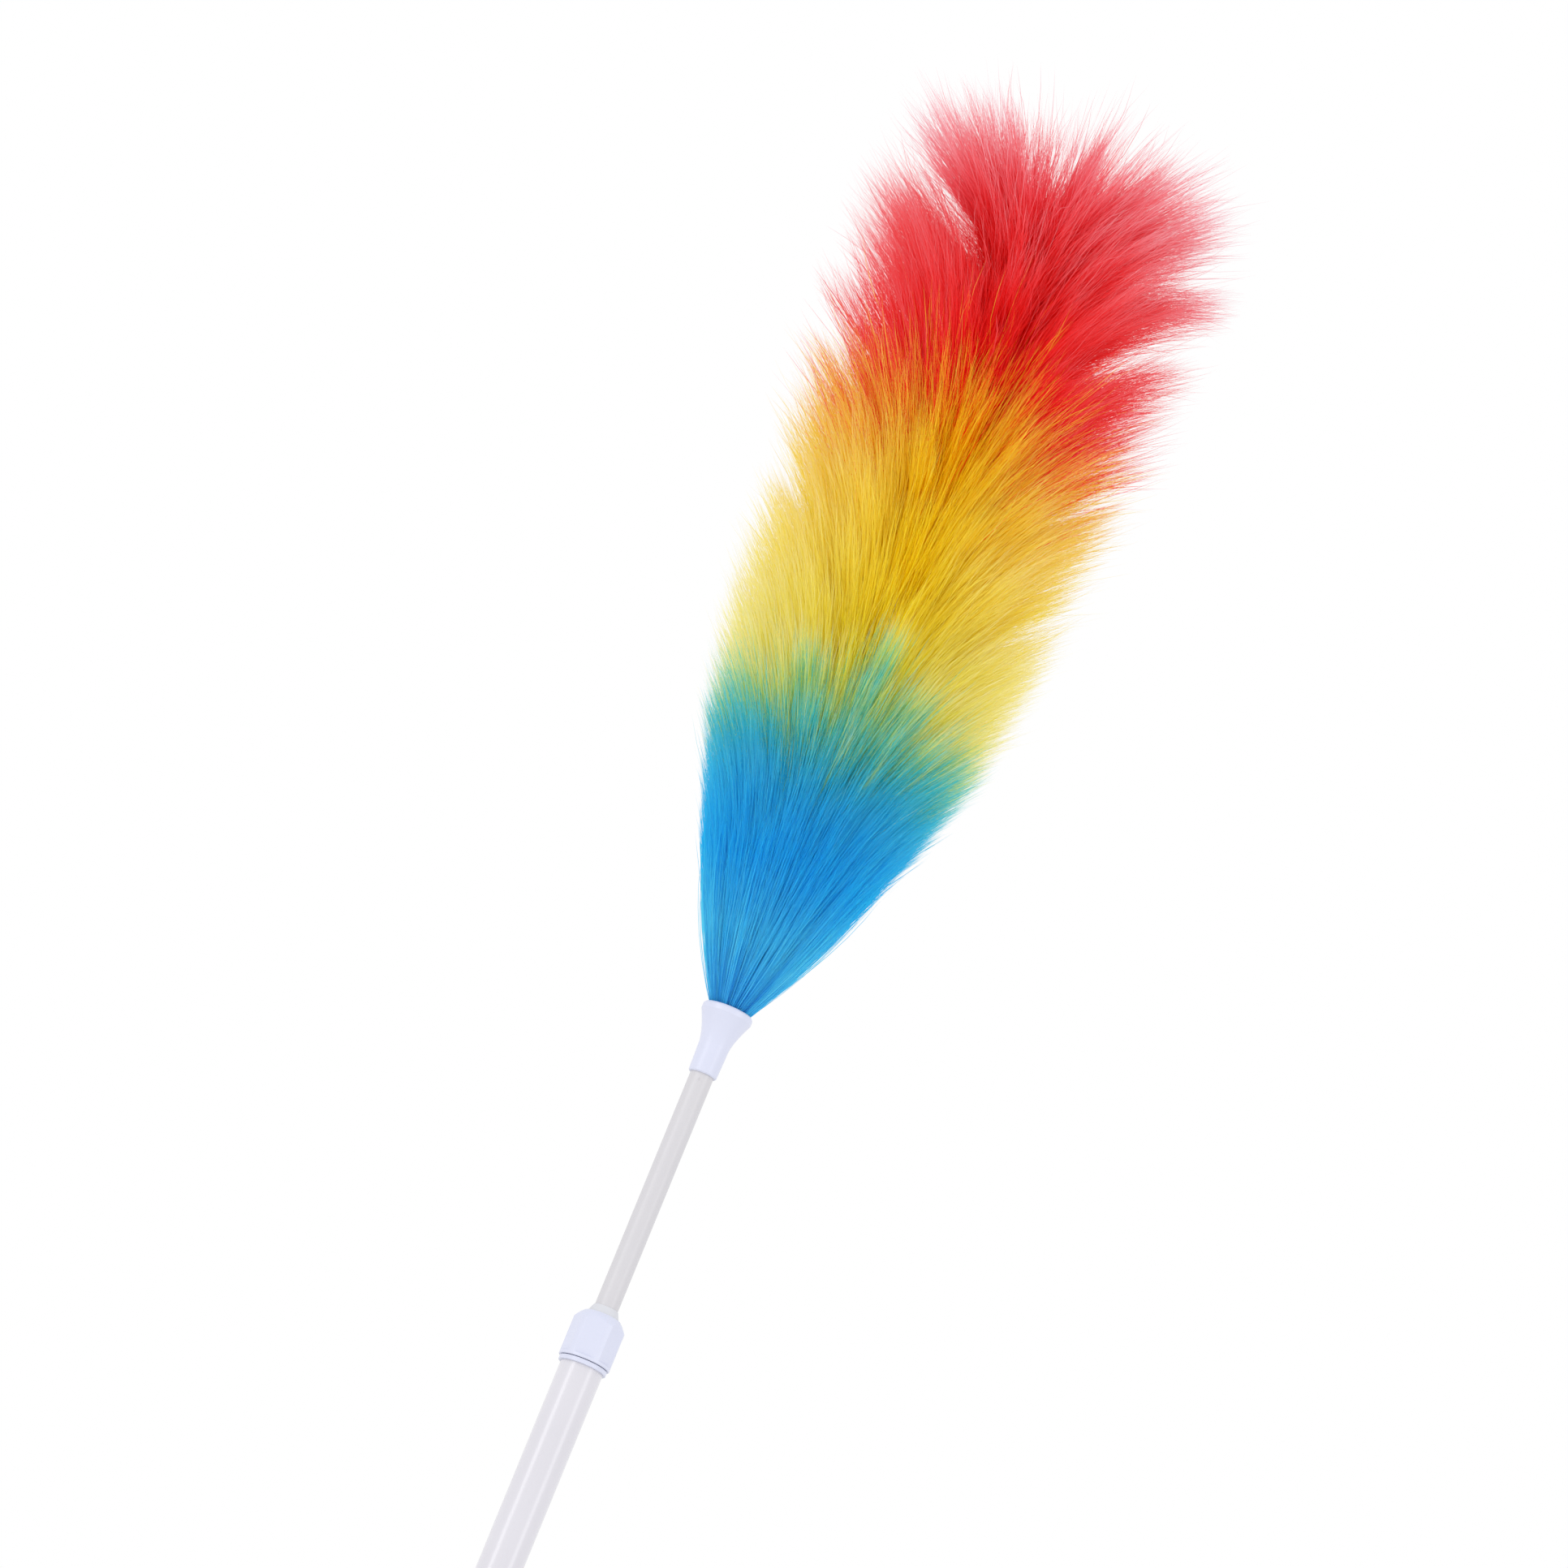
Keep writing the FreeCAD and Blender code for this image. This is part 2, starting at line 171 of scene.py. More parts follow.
# Tufts that stand out: root height, azimuth (0 in front, 90 to the right), slant off the axis, length, the
# height that its dye belongs to, and spread. First come those at the sides of the red.
STANDING_TUFTS = [
    (386, 92, 68, 116, 386, 5),
    (381, 88, 66, 112, 381, 5),
    (402, 89, 51, 112, 402, 7),
    (400, 101, 51, 112, 400, 7),
    (402, 75, 47, 110, 402, 7),
    (402, 84, 31, 106, 402, 7),
    (400, -88, 49, 112, 400, 7),
    (400, -100, 51, 113, 400, 7),
    (402, -76, 47, 110, 402, 7),
    (368, -90, 57, 109, 368, 6),
    (360, -84, 57, 109, 360, 6),
    (356, -98, 57, 110, 356, 6),
    (402, 88, 41, 112, 402, 7),
    (402, -84, 31, 99, 402, 7),
    (402, -90, 62, 95, 402, 5),
    (398, -86, 66, 100, 398, 5),
    (403, 60, 5, 93, 403, 3),
    (403, 80, 24, 97, 403, 5),
    (403, -75, 17, 87, 403, 4),
    (402, -88, 41, 105, 402, 7),
    (384, -92, 62, 102, 384, 7),
    # Blue streaks that lie over the yellow, in front.
    (70, 3, 39, 110, 64, 1.3),
    (86, 3, 38.5, 120, 64, 1.1),
    (102, 4, 38.5, 126, 70, 0.9),
    (76, -19, 40, 112, 68, 2.6),
    (90, -26, 39, 119, 68, 2.4),
    (76, 20, 40, 112, 68, 2.6),
    (88, 26, 39, 118, 68, 2.4),
]

# Partings between tufts, as one sees them from the front: place across and up, half length, half width,
# slant, and the share of the fibres there that is missing.
PARTINGS = [
    (-38, 410, 28, 7.5, -42, 0.92),
    (66, 384, 33, 6.5, 51, 0.94),
    (87, 438, 9, 4, 60, 0.9),
    (-19, 470, 24, 9, -8, 0.6),
    (30, 478, 14, 5, 15, 0.4),
    (-59, 313, 12, 2, -50, 0.88),
    (73, 309, 12, 2.5, 52, 0.88),
    (-67, 254, 26, 1.2, -34, 0.88),
    (64, 234, 14, 1.2, 62, 0.88),
]
PARTED_FROM = 2  # the stretches before this point may cross a parting
PARTING_CHECKS = 4  # places looked at in each stretch after it
PARTING_EDGE = (0.3, 1.8)  # a parting's edge is soft between these

# The colour along a fibre, as (place, red, green, blue) on screen, from its root at 0 to the longest tip
# at 1: first for the lowest fibres of each band, then for its highest. Towards the root the colours are
# partly painted shade of the head's deep core. Towards the tip they are partly a lighter dye and partly
# painted glow of light through the thin ends.
DYES_AND_PAINTED_LIGHT = {
    "blue": (
        [(0.0, 92, 210, 252), (0.4, 116, 232, 255), (0.8, 60, 217, 255), (1.0, 90, 223, 255)],
        [(0.0, 40, 198, 248), (0.4, 54, 210, 248), (0.75, 120, 228, 232), (1.0, 196, 240, 222)],
    ),
    # The yellow's orange roots are painted shade and painted red bounce light in the head's core.
    "yellow": (
        [(0.0, 255, 204, 4), (0.35, 255, 243, 24), (0.7, 255, 250, 148), (1.0, 255, 252, 236)],
        [(0.0, 255, 158, 4), (0.4, 255, 226, 28), (0.75, 255, 226, 85), (1.0, 255, 200, 100)],
    ),
    "red": (
        [(0.0, 253, 36, 16), (0.4, 253, 46, 34), (0.65, 252, 74, 74), (1.0, 247, 146, 155)],
        [(0.0, 253, 30, 30), (0.33, 253, 44, 48), (0.52, 252, 122, 134), (1.0, 247, 218, 226)],
    ),
}
DYE_SHIFT_POWER = 2.2  # most of a band keeps to its lowest fibres' colours
STREAKS_ALONG, STREAKS_ACROSS = 0.6, 260
STREAK_SHADE = (0.88, 1.08)
TRANSLUCENCE = 0.72

# ---------------------------------------------------------------- fibres

Fibres = namedtuple("Fibres", "root_z root_r turn tilt length swing stray dye_place")

rng = np.random.default_rng(SEED)


def outline_radius(height):
    """The head's resting radius at that height."""
    heights, radii = zip(*HEAD_OUTLINE)
    return np.interp(height, heights, radii)


def smooth_noise(count, knots=5):
    """Random values that change smoothly along each row: count rows of SEGMENTS + 1."""
    coarse = rng.normal(size=(count, knots))
    at = np.linspace(0, knots - 1, SEGMENTS + 1)
    low = np.minimum(at.astype(int), knots - 2)
    share = at - low
    share = share * share * (3 - 2 * share)
    return coarse[:, low] * (1 - share) + coarse[:, low + 1] * share


def full_length(root_z):
    """The length of the longest fibres that are rooted at that height."""
    return np.interp(root_z, SPREAD_AT, LONGEST)


def resting_tilt(root_z):
    """The slant at which a full fibre ends on the head's outline, found by closing in on its tip's height."""
    length = full_length(root_z)
    tip_z = root_z + 70.0  # a first guess
    for _ in range(8):
        tip_r = np.minimum(outline_radius(tip_z), length * 0.95)
        tip_z = root_z + np.sqrt(length**2 - tip_r**2)
    return np.degrees(np.arctan2(tip_r, tip_z - root_z))


def fold_at(turn):
    """How deep in a fold of the head an azimuth lies, from 0 to about 1."""
    fold = np.zeros(len(turn))
    for middle in FOLDS:
        off = (turn - middle + 180) % 360 - 180
        fold += np.exp(-0.5 * (off / FOLD_WIDTH) ** 2)
    return fold


def wound_tufts():
    """Tufts all the way up the wire: root height, azimuth, slant, length, height in the dye, and spread."""
    root_z = LOWEST_ROOT + (WIRE_TOP - LOWEST_ROOT) * (np.arange(TUFTS) + rng.random(TUFTS)) / TUFTS
    rise = (root_z - LOWEST_ROOT) / (WIRE_TOP - LOWEST_ROOT)
    turn = np.arange(TUFTS) * GOLDEN_ANGLE + rng.normal(0, TUFT_TURN, TUFTS)
    tilt = resting_tilt(root_z) + rng.normal(0, TUFT_TILT[0] + TUFT_TILT[1] * rise**2, TUFTS)
    uneven = np.clip(rng.normal(size=TUFTS), -2, 1)
    length = full_length(root_z) * (1 + (TUFT_LENGTH[0] + TUFT_LENGTH[1] * rise) * uneven)
    return root_z, turn, tilt, length, root_z, np.full(TUFTS, TUFT_SPREAD)


def fanned_tufts():
    """The same for the tufts over the wire's end, spread evenly over a cap."""
    cap = (np.arange(FAN_TUFTS) + 0.5) / FAN_TUFTS
    root_z = rng.uniform(WIRE_TOP - FAN_DEPTH, WIRE_TOP, FAN_TUFTS)
    turn = np.arange(FAN_TUFTS) * GOLDEN_ANGLE + rng.normal(0, FAN_TURN, FAN_TUFTS)
    tilt = np.degrees(np.arccos(1 - cap * (1 - math.cos(math.radians(FAN_TILT)))))
    uneven = np.clip(rng.normal(size=FAN_TUFTS), -2, 1)
    length = np.interp(cap, (0, 1), FAN_LENGTH) * (1 + FAN_UNEVEN_LENGTH * uneven)
    return root_z, turn, tilt, length, np.full(FAN_TUFTS, WIRE_TOP), np.full(FAN_TUFTS, TUFT_SPREAD)


def clump_lengths(length, root_z, turn, tuft):
    """The clumps' own lengths: some nearly as long as their tuft, the rest shorter, and more so in a fold."""
    shortest = np.interp(root_z, SPREAD_AT, SHORTEST)
    middling = np.interp(root_z, SPREAD_AT, MIDDLING)
    long_share = np.interp(root_z, SPREAD_AT, LONG_SHARE)
    long_share = np.where(tuft >= TUFTS + FAN_TUFTS, STANDING_LONG_SHARE, long_share)
    is_long = rng.random(len(tuft)) < long_share
    low = np.where(is_long, middling, shortest)
    high = np.where(is_long, 1, middling)
    length = length * rng.uniform(low, high)
    short = np.interp(root_z, SHORT_AT, SHORT_IN_FOLD) * (tuft < TUFTS)
    return length * (1 - short * fold_at(turn) ** SHORT_CLOSENESS)


def grow_clumps():
    """The clumps of fibres, in their tufts or loose between them.

    Each one's root height, azimuth, slant, length, height in the dye, swing, spread round the axis, and
    looseness.
    """
    standing = np.array(STANDING_TUFTS, float).T
    tufts = [np.concatenate(group) for group in zip(wound_tufts(), fanned_tufts(), standing)]
    clumps = FIBRE_COUNT // CLUMP // 1
    tuft = rng.integers(0, len(tufts[0]), clumps)
    root_z, turn, tilt, length, dye_place, tuft_spread = [values[tuft] for values in tufts]
    spread = 1 / np.sin(np.radians(np.maximum(tilt, STEEPEST)))
    looseness = np.clip(TIGHTEST + root_z / LOOSENING_HEIGHT, TIGHTEST, 1)
    root_z = root_z + rng.normal(0, CLUMP_HEIGHT, clumps)
    turn = turn + rng.normal(0, 1, clumps) * tuft_spread * spread
    tilt = tilt + rng.normal(0, CLUMP_TILT, clumps) * tuft_spread * looseness

    loose = rng.random(clumps) < np.interp(root_z, SPREAD_AT, LOOSE)
    loose &= tuft < TUFTS
    loose_z = rng.uniform(LOWEST_ROOT, WIRE_TOP, clumps)
    root_z = np.where(loose, loose_z, root_z)
    dye_place = np.where(loose, loose_z, dye_place)
    turn = np.where(loose, rng.uniform(0, 360, clumps), turn)
    loose_tilt = resting_tilt(loose_z) + rng.normal(0, LOOSE_TILT, clumps) * looseness
    tilt = np.where(loose, loose_tilt, tilt)
    length = np.where(loose, full_length(loose_z), length)
    length = clump_lengths(length, root_z, turn, tuft)
    uneven_dye = np.interp(root_z, (BLUE_TOP, YELLOW_TOP), UNEVEN_DYE)
    dye_place = dye_place + rng.normal(size=clumps) * uneven_dye
    swing = rng.normal(0, SWING, clumps) * tuft_spread / TUFT_SPREAD
    return root_z, turn, tilt, length, dye_place, swing, spread, looseness


def grow():
    """The fibres, each near the others of its clump. Their azimuths and slants are in radians."""
    by_fibre = [np.repeat(values, CLUMP) for values in grow_clumps()]
    root_z, turn, tilt, length, dye_place, swing, spread, looseness = by_fibre
    count = len(root_z)
    root_z = np.clip(root_z + rng.normal(0, FIBRE_HEIGHT, count), LOWEST_ROOT, WIRE_TOP)
    clump_spread = np.interp(root_z, SPREAD_AT, CLUMP_SPREAD)
    turn = turn + rng.normal(0, 1, count) * clump_spread * spread
    tilt = tilt + rng.normal(0, 1, count) * clump_spread * looseness
    length = length * rng.normal(1, FIBRE_LENGTH, count)
    stray = (rng.random(count) < STRAYS) & (root_z > STRAYS_ABOVE)
    tilt = np.where(stray, tilt + rng.normal(0, STRAY_TILT, count), tilt)
    length = np.where(stray, full_length(root_z) * rng.uniform(*STRAY_LENGTH, count), length)
    bundle = np.where(root_z < 0, FERRULE_BUNDLE + FERRULE_SLOPE * root_z, BUNDLE)
    root_r = np.minimum(INNERMOST_ROOT + bundle * np.sqrt(rng.random(count)), bundle)
    turn, tilt = np.radians(turn), np.radians(np.abs(tilt))
    return Fibres(root_z, root_r, turn, tilt, length, swing * looseness, stray, dye_place)


def along_curve(start, bend, tip):
    """Values along each fibre's curve, from its start to its tip and drawn towards a bend between them."""
    t = np.linspace(0, 1, SEGMENTS + 1)[None, :]
    a, b, c = (1 - t) ** 2, 2 * t * (1 - t), t * t
    return a * start[:, None] + b * bend[:, None] + c * tip[:, None]


def fibre_paths(fibres):
    """The fibres' centre lines, in mm: an array of (fibre, point, xyz).

    Each sets out at about its own slant, and bends where the outline holds its tip in.
    """
    root_z, root_r, length = fibres.root_z, fibres.root_r, fibres.length
    count = len(root_z)
    rise = np.clip(root_z / FULL_UNEVENNESS_AT, 0, 1)
    start = fibres.tilt * rng.normal(SETTING_OUT, UNEVEN_START[0] + UNEVEN_START[1] * rise, count)
    tip_z = root_z + length * np.cos(fibres.tilt)
    limit = outline_radius(tip_z) * rng.normal(OUTLINE_SHARE, UNEVEN_OUTLINE, count)
    limit = np.minimum(limit, WIDEST_TIP)
    tip_r = root_r + length * np.sin(fibres.tilt)
    held = (root_z < HELD_BELOW) & ~fibres.stray
    tip_r = np.where(held, np.minimum(tip_r, limit), np.minimum(tip_r, WIDEST_TIP))
    radius = along_curve(root_r, root_r + 0.5 * length * np.sin(start), tip_r)
    height = along_curve(root_z, root_z + 0.5 * length * np.cos(start), tip_z)

    t = np.linspace(0, 1, SEGMENTS + 1)[None, :]
    wave = np.where(fibres.stray, STRAY_WAVE, np.interp(root_z, SPREAD_AT, WAVE))[:, None] * t
    sideways = wave * smooth_noise(count) + fibres.swing[:, None] * t * t
    radius = np.minimum(radius + wave * smooth_noise(count), WIDEST)
    height = height + wave * smooth_noise(count)
    angle = fibres.turn[:, None] + sideways / np.maximum(radius, 12)  # so that none curls round the wire
    return np.stack([radius * np.sin(angle), -radius * np.cos(angle), RIM_Z + height], axis=2)


def parted(points):
    """True for the fibres that are missing because they would cross a parting."""
    missing = np.zeros(len(points), bool)
    places = np.linspace(PARTED_FROM, SEGMENTS, (SEGMENTS - PARTED_FROM) * PARTING_CHECKS + 1)
    low = np.minimum(places.astype(int), SEGMENTS - 1)
    share = (places - low)[None, :, None]
    finely = points[:, low] * (1 - share) + points[:, low + 1] * share
    for across, up, half_length, half_width, slant, gone in PARTINGS:
        slant = math.radians(slant)
        x = finely[:, :, 0] - across
        z = finely[:, :, 2] - RIM_Z - up
        along = x * math.sin(slant) + z * math.cos(slant)
        aside = x * math.cos(slant) - z * math.sin(slant)
        inside = (along / half_length) ** 2 + (aside / half_width) ** 2
        crossing = inside.min(axis=1) < rng.uniform(*PARTING_EDGE, len(points))
        missing |= crossing & (rng.random(len(points)) < gone)
    return missing


def dyed(place, turn):
    """Each fibre's colour, as 0, 1 or 2, and how far up in that colour's band it stands, from 0 to 1."""
    fold = fold_at(np.degrees(turn))
    count = len(place)
    place = place + np.where(rng.random(count) < MISPLACED, rng.normal(0, MISPLACED_BY, count), 0)
    first, second = BLUE_TOP - BLUE_DIP * fold, YELLOW_TOP + YELLOW_RISE * fold
    colour = (place > first).astype(int) + (place > second)
    low = np.choose(colour, [np.full(count, LOWEST_ROOT), first, second])
    high = np.choose(colour, [first, second, np.full(count, WIRE_TOP)])
    return colour, np.clip((place - low) / (high - low), 0, 1)


def dye_and_light_reach(fibres):
    """How far along its dye and painted glow each fibre's tip is: its length as a share of the longest, but
    less in a fold.
    """
    even = np.interp(fibres.root_z, EVEN_AT, EVEN_IN_FOLD)
    even = even * fold_at(np.degrees(fibres.turn)) ** EVEN_CLOSENESS
    return np.minimum(fibres.length / full_length(fibres.root_z), 1) * (1 - even)


def ribbon_corners(points):
    """The corners of a thin, flat, pointed ribbon along each fibre: two at each point, and one at its tip."""
    count = len(points)
    ahead = np.gradient(points, axis=1)
    ahead /= np.linalg.norm(ahead, axis=2, keepdims=True) + 1e-9
    facing = rng.normal(size=(count, 1, 3))
    side = np.cross(ahead, facing)
    side /= np.linalg.norm(side, axis=2, keepdims=True) + 1e-9
    t = np.linspace(0, 1, SEGMENTS + 1)
    uneven = np.exp(rng.normal(-0.05, UNEVEN_WIDTH, (count, 1)))  # about 1 on average
    half = 0.5 * FIBRE_WIDTH * (1 - NARROWING * t**2) * uneven
    offset = side[:, :SEGMENTS] * half[:, :SEGMENTS, None]
    edges = np.stack([points[:, :SEGMENTS] - offset, points[:, :SEGMENTS] + offset], axis=2)
    return np.concatenate([edges.reshape(count, SEGMENTS * 2, 3), points[:, SEGMENTS:]], axis=1)


def ribbon_uvs(reach, share):
    """U runs along each fibre, up to where its tip is in the dye and its painted glow. V is its place in the
    colour's band.
    """
    half = 0.0005
    t = np.linspace(0, 1, SEGMENTS + 1)
    u = np.append(np.repeat(t[:SEGMENTS], 2), 1.0)[None, :] * reach[:, None]
    v = share[:, None] + np.append(np.tile([-half, half], SEGMENTS), 0.0)[None, :]
    return np.stack([u, np.clip(v, 0, 1)], axis=2).reshape(-1, 2)


def fibre_mesh(name, points, reach, share, material):
    """One mesh that holds many fibres as ribbons of split film."""
    count = len(points)
    verts = ribbon_corners(points) * MM
    per = SEGMENTS * 2 + 1
    quads = np.array([[2 * i, 2 * i + 1, 2 * i + 3, 2 * i + 2] for i in range(SEGMENTS - 1)])
    end = np.array([[per - 3, per - 2, per - 1]])
    base = (np.arange(count) * per)[:, None, None]
    corners = np.concatenate([(quads[None] + base).ravel(), (end[None] + base).ravel()])
    sizes = np.concatenate([np.full(count * len(quads), 4), np.full(count, 3)])
    starts = np.concatenate([[0], np.cumsum(sizes)[:-1]])

    mesh = bpy.data.meshes.new(name)
    mesh.vertices.add(count * per)
    mesh.vertices.foreach_set("co", verts.reshape(-1).astype(np.float32))
    mesh.loops.add(len(corners))
    mesh.loops.foreach_set("vertex_index", corners.astype(np.int32))
    mesh.polygons.add(len(sizes))
    mesh.polygons.foreach_set("loop_start", starts.astype(np.int32))
    mesh.update(calc_edges=True)
    mesh.polygons.foreach_set("use_smooth", np.ones(len(sizes), bool))
    uv = ribbon_uvs(reach, share)[corners]
    mesh.uv_layers.new(name="OFBake").data.foreach_set("uv", uv.reshape(-1).astype(np.float32))
    mesh.materials.append(material)
    obj = bpy.data.objects.new(name, mesh)
    bpy.context.scene.collection.objects.link(obj)
    return obj


def make_fibres():
    """Every colour's fibres, split into pieces of a workable size, in place of the three plain solids."""
    fibres = grow()
    points = fibre_paths(fibres)
    reach = dye_and_light_reach(fibres)
    colour, share = dyed(fibres.dye_place, fibres.turn)
    kept = ~parted(points)
    points, reach, colour, share = points[kept], reach[kept], colour[kept], share[kept]
    per_piece = MAX_FACES // (SEGMENTS * 2 - 1)
    for number, (name, dye) in enumerate(DYES_AND_PAINTED_LIGHT.items()):
        # Each ramp holds painted shade near the roots and painted glow towards the tips, as well as the dye.
        material = fibre_material(f"fibre_{name}_finish", *dye)
        mine = np.flatnonzero(colour == number)
        for i, chosen in enumerate(np.array_split(mine, math.ceil(len(mine) / per_piece))):
            piece = fibre_mesh(
                f"{name}_fibres_{i + 1}", points[chosen], reach[chosen], share[chosen], material
            )
            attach(piece, "inner_pole")
            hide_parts(f"fibres_{name}")


# ---------------------------------------------------------------- materials


def srgb(r, g, b):
    """A colour given as on screen, 0 to 255, as the linear values that a shader takes."""
    def linear(c):
        c /= 255
        return c / 12.92 if c <= 0.04045 else ((c + 0.055) / 1.055) ** 2.4

    return (linear(r), linear(g), linear(b), 1.0)


def darker(colour, share):
    """That share of a colour's brightness."""
    return tuple(c * share for c in colour[:3]) + (1,)


class Nodes:
    """A short way to write a material's node tree."""

    def __init__(self, name):
        self.material = bpy.data.materials.new(name)
        self.material.use_nodes = True
        self.tree = self.material.node_tree
        self.shader = self.tree.nodes["Principled BSDF"]

    def add(self, kind, **settings):
        node = self.tree.nodes.new(kind)
        for key, value in settings.items():
            setattr(node, key, value)
        return node

    def link(self, source, target):
        self.tree.links.new(source, target)

    def place(self):
        return self.add("ShaderNodeTexCoord").outputs["Object"]

    def noise(self, coords, scale, detail):
        node = self.add("ShaderNodeTexNoise")
        node.inputs["Scale"].default_value = scale
        node.inputs["Detail"].default_value = detail
        self.link(coords, node.inputs["Vector"])
        return node.outputs["Fac"]

    def ramp(self, factor, stops):
        """A colour ramp through stops of (place, red, green, blue)."""
        node = self.add("ShaderNodeValToRGB")
        points = node.color_ramp.elements
        while len(points) < len(stops):
            points.new(0.5)
        for point, (place, *colour) in zip(points, stops):
            point.position = place
            point.color = srgb(*colour)
        self.link(factor, node.inputs["Fac"])
        return node.outputs["Color"]

    def mix(self, factor, a, b):
        """A mix of two colours, each a socket or a constant."""
        node = self.add("ShaderNodeMix", data_type="RGBA")
        for value, socket in ((factor, node.inputs[0]), (a, node.inputs[6]), (b, node.inputs[7])):
            if hasattr(value, "links"):
                self.link(value, socket)
            else:
                socket.default_value = value
        return node.outputs[2]

    def spread(self, value, low, high):
        """Spreads a value that runs from 0 to 1 over low to high."""
        node = self.add("ShaderNodeMapRange")
        node.inputs["To Min"].default_value = low
        node.inputs["To Max"].default_value = high
        self.link(value, node.inputs["Value"])
        return node.outputs["Result"]

    def roughness(self, noise, middle, off):
        """Roughness that varies with the noise, either side of a middle value."""
        self.link(self.spread(noise, middle - off, middle + off), self.shader.inputs["Roughness"])

    def bump(self, height, distance):
        node = self.add("ShaderNodeBump")
        node.inputs["Distance"].default_value = distance
        self.link(height, node.inputs["Height"])
        self.link(node.outputs["Normal"], self.shader.inputs["Normal"])


def fibre_material(name, low_stops, high_stops):
    """Synthetic fibre: the dye, with painted shade near the roots and painted glow at the tips, runs along
    each one, and shifts from the band's lowest to its highest.
    """
    m = Nodes(name)
    parts = m.add("ShaderNodeSeparateXYZ")
    m.link(m.add("ShaderNodeUVMap", uv_map="OFBake").outputs["UV"], parts.inputs[0])
    along, share = parts.outputs["X"], parts.outputs["Y"]
    late = m.add("ShaderNodeMath", operation="POWER")
    m.link(share, late.inputs[0])
    late.inputs[1].default_value = DYE_SHIFT_POWER
    colour = m.mix(late.outputs[0], m.ramp(along, low_stops), m.ramp(along, high_stops))

    streaks = m.add("ShaderNodeCombineXYZ")
    m.link(m.spread(along, 0, STREAKS_ALONG), streaks.inputs["X"])
    m.link(m.spread(share, 0, STREAKS_ACROSS), streaks.inputs["Y"])
    shade = m.spread(m.noise(streaks.outputs[0], scale=1.0, detail=1.0), *STREAK_SHADE)
    tint = m.add("ShaderNodeHueSaturation")
    m.link(shade, tint.inputs["Value"])
    m.link(colour, tint.inputs["Color"])
    m.link(tint.outputs["Color"], m.shader.inputs["Base Color"])
    m.shader.inputs["Roughness"].default_value = 0.45
    m.shader.inputs["Specular IOR Level"].default_value = 0.06

    through = m.add("ShaderNodeBsdfTranslucent")
    m.link(tint.outputs["Color"], through.inputs["Color"])
    both = m.add("ShaderNodeMixShader")
    both.inputs[0].default_value = TRANSLUCENCE
    m.link(m.shader.outputs[0], both.inputs[1])
    m.link(through.outputs[0], both.inputs[2])
    m.link(both.outputs[0], m.tree.nodes["Material Output"].inputs["Surface"])
    return m.material


def painted(name, colour, roughness, coat):
    """Powder-coated steel tube: a faint orange-peel surface and slight unevenness of shine."""
    m = Nodes(name)
    place = m.place()
    base = m.mix(m.noise(place, scale=28.0, detail=3.0), darker(colour, 0.95), colour)
    m.link(base, m.shader.inputs["Base Color"])
    m.roughness(m.noise(place, scale=90.0, detail=2.0), roughness, off=0.06)
    m.shader.inputs["Coat Weight"].default_value = coat
    m.shader.inputs["Coat Roughness"].default_value = 0.12
    m.bump(m.noise(place, scale=520.0, detail=1.0), distance=0.00004)
    return m.material


def plastic(name, colour, roughness):
    """Moulded plastic: an even colour with a very slight mottle, and a fine moulded grain."""
    m = Nodes(name)
    place = m.place()
    base = m.mix(m.noise(place, scale=60.0, detail=2.0), darker(colour, 0.96), colour)
    m.link(base, m.shader.inputs["Base Color"])
    m.roughness(m.noise(place, scale=140.0, detail=2.0), roughness, off=0.05)
    m.bump(m.noise(place, scale=900.0, detail=1.0), distance=0.00003)
    return m.material


def steel(name, colour, roughness):
    """Bare drawn steel wire."""
    m = Nodes(name)
    place = m.place()
    base = m.mix(m.noise(place, scale=300.0, detail=3.0), darker(colour, 0.7), colour)
    m.link(base, m.shader.inputs["Base Color"])
    m.shader.inputs["Metallic"].default_value = 1.0
    m.roughness(m.noise(place, scale=200.0, detail=2.0), roughness, off=0.1)
    return m.material


def finish_cad_nodes():
    """Gives each CAD node its finish. The fibres' solids need none, because the fibre pieces replace them."""
    finishes = {
        "outer_tube_paint": painted("outer_tube_finish", srgb(210, 208, 215), roughness=0.3, coat=0.5),
        "inner_tube_paint": painted("inner_tube_finish", srgb(202, 200, 204), roughness=0.42, coat=0.1),
        "white_plastic": plastic("white_plastic_finish", srgb(207, 210, 228), roughness=0.36),
        "collet_plastic": plastic("collet_plastic_finish", srgb(206, 207, 213), roughness=0.5),
        "grip_plastic": plastic("grip_plastic_finish", srgb(200, 203, 218), roughness=0.55),
        "spring_steel": steel("spring_steel_finish", srgb(170, 170, 176), roughness=0.35),
        "galvanised_wire": steel("galvanised_wire_finish", srgb(176, 178, 180), roughness=0.4),
    }
    slot_of = {s["node"]: s["material_slot"] for s in frame["record"]["subparts"]}
    for name, node in frame["nodes"].items():
        finish = finishes.get(slot_of[name])
        if finish is not None:
            node.data.materials.clear()
            node.data.materials.append(finish)


# ---------------------------------------------------------------- stage, light and camera

PHOTO_TILT = math.radians(22.36)  # the pole leans this far to the right
PHOTO_ELEVATION = math.radians(-12.6)  # the camera looks up at it
FRAME_WIDTH = 0.773  # what the picture spans at the pole
AIM = Vector((-0.0172, 0, 0.9663))
LENS = 500.0
FLOOR_RADIUS, FLOOR_SIDES = 2.3, 128
LIGHT_ELEVATION, LIGHT_DISTANCE, LIGHT_SIZE = 12, 2.2, (0.7, 2.0)


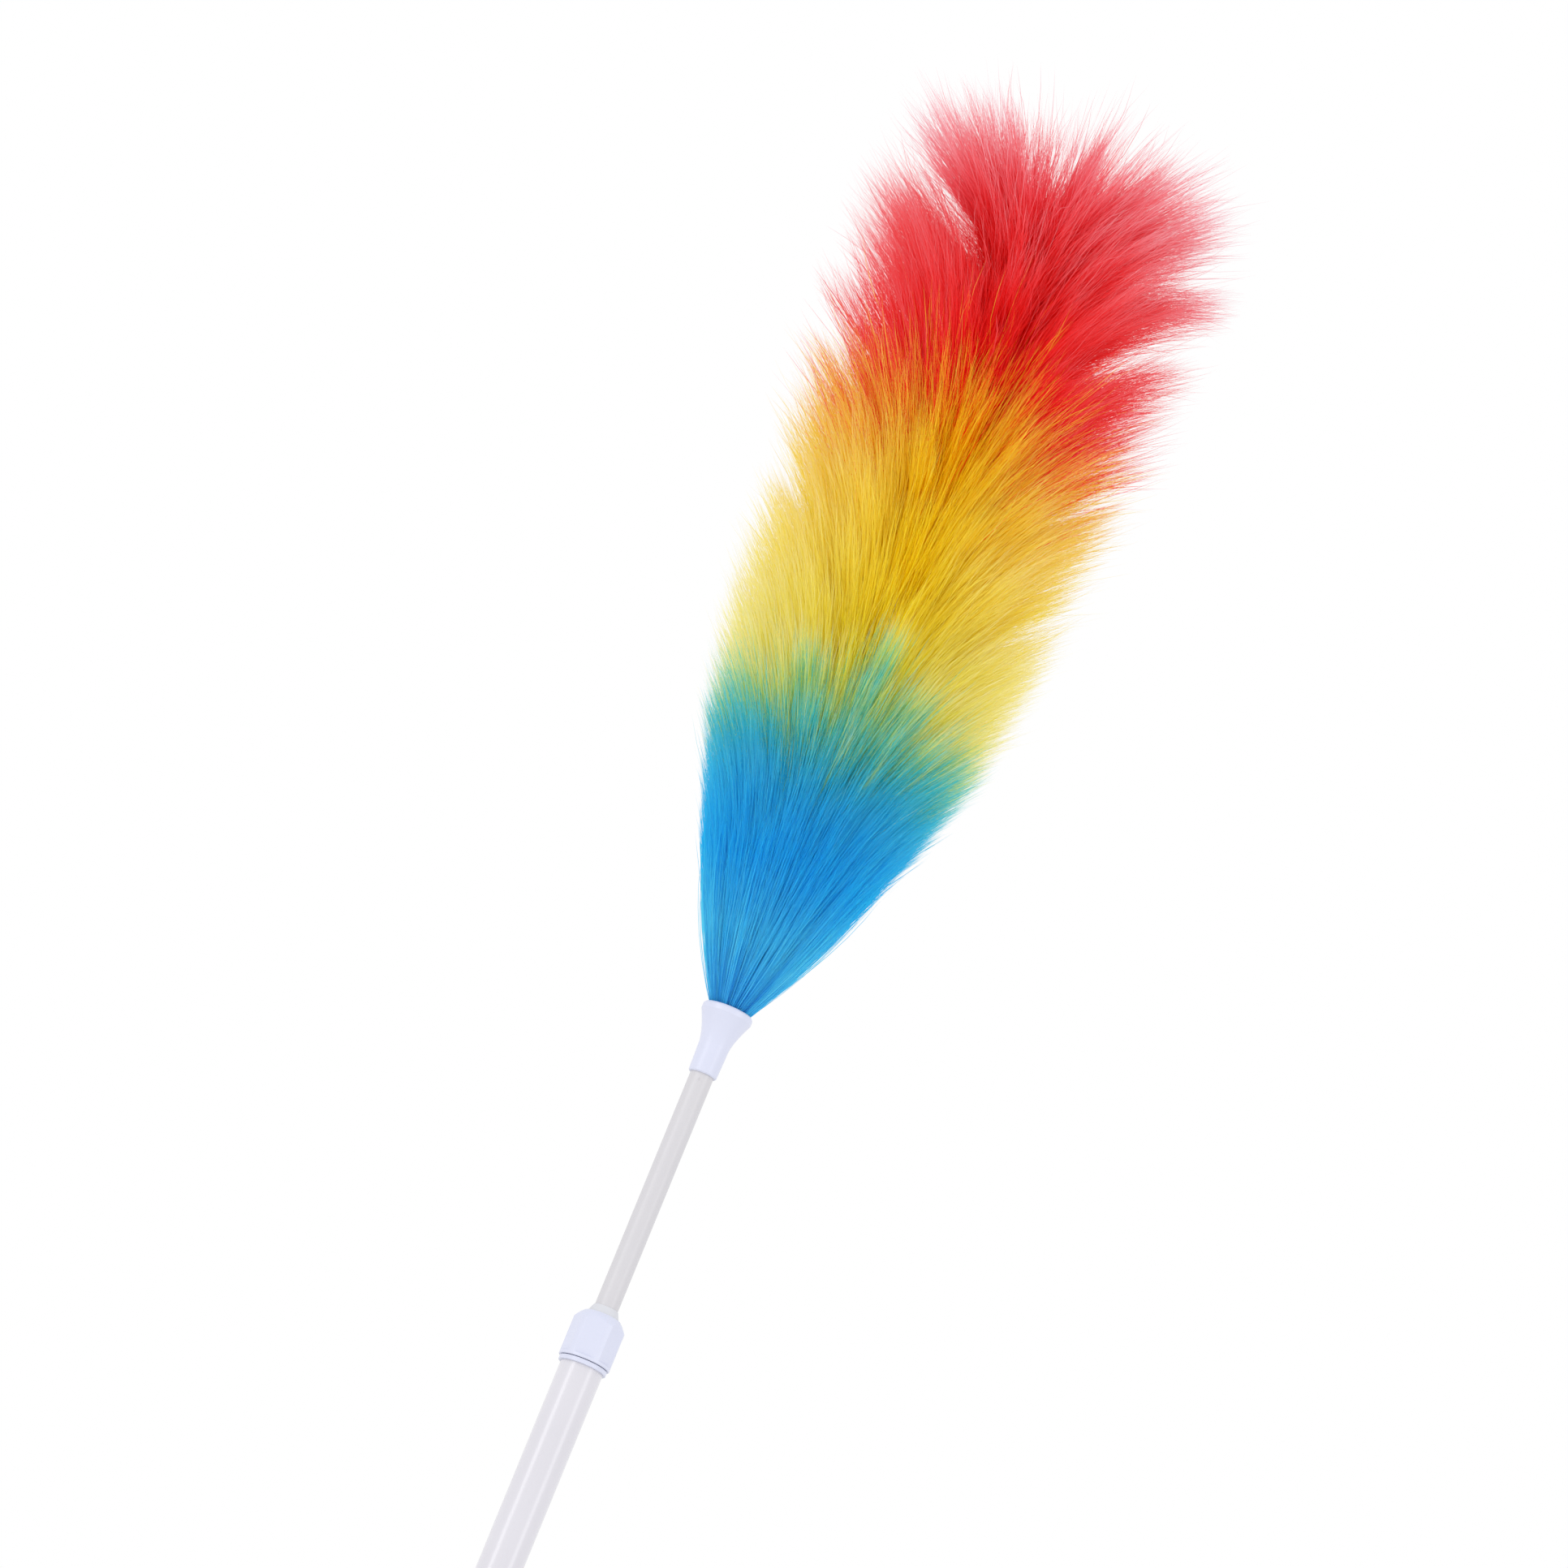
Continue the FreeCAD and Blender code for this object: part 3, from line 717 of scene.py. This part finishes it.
def make_floor():
    """A pale round floor at the duster's lower end."""
    mesh = bpy.data.meshes.new("floor")
    low = CAD_BOX[0][2]
    turns = [2 * math.pi * i / FLOOR_SIDES for i in range(FLOOR_SIDES)]
    rim = [(FLOOR_RADIUS * math.cos(a), FLOOR_RADIUS * math.sin(a), low) for a in turns]
    mesh.from_pydata(rim, [], [tuple(range(FLOOR_SIDES))])
    floor = bpy.data.objects.new("floor", mesh)
    bpy.context.scene.collection.objects.link(floor)
    m = Nodes("floor_finish")
    m.shader.inputs["Base Color"].default_value = (0.9, 0.9, 0.9, 1)
    m.shader.inputs["Roughness"].default_value = 0.8
    mesh.materials.append(m.material)


def soft_light(name, azimuth, power):
    """A soft box that faces the head from that direction."""
    light = bpy.data.lights.new(name, "AREA")
    light.shape = "RECTANGLE"
    light.size, light.size_y = LIGHT_SIZE
    light.energy = power
    obj = bpy.data.objects.new(name, light)
    bpy.context.scene.collection.objects.link(obj)
    az, el = math.radians(azimuth), math.radians(LIGHT_ELEVATION)
    away = Vector((math.sin(az) * math.cos(el), -math.cos(az) * math.cos(el), math.sin(el)))
    obj.location = AIM + away * LIGHT_DISTANCE
    obj.rotation_euler = away.to_track_quat("Z", "Y").to_euler()


def light_room():
    """A white room with a soft box in front at each side."""
    scene = bpy.context.scene
    scene.view_settings.view_transform = "Standard"
    scene.world = bpy.data.worlds.new("white_room")
    scene.world.use_nodes = True
    background = scene.world.node_tree.nodes["Background"]
    background.inputs["Color"].default_value = (1, 1, 1, 1)
    background.inputs["Strength"].default_value = 1.0
    soft_light("left_box", azimuth=-50, power=12)
    soft_light("right_box", azimuth=50, power=9)


def make_camera():
    """The camera at the photograph's angle: from a little below, rolled so that the pole leans right."""
    data = bpy.data.cameras.new("camera")
    data.lens = LENS
    data.sensor_width = 36.0
    data.clip_end = 50.0
    camera = bpy.data.objects.new("camera", data)
    bpy.context.scene.collection.objects.link(camera)
    distance = FRAME_WIDTH * LENS / data.sensor_width
    away = Vector((0, -math.cos(PHOTO_ELEVATION), math.sin(PHOTO_ELEVATION)))
    turn = away.to_track_quat("Z", "Y").to_matrix().to_4x4() @ Matrix.Rotation(PHOTO_TILT, 4, "Z")
    camera.matrix_world = Matrix.Translation(AIM + away * distance) @ turn
    bpy.context.scene.camera = camera


make_floor()
light_room()
make_camera()
finish_cad_nodes()
make_fibres()
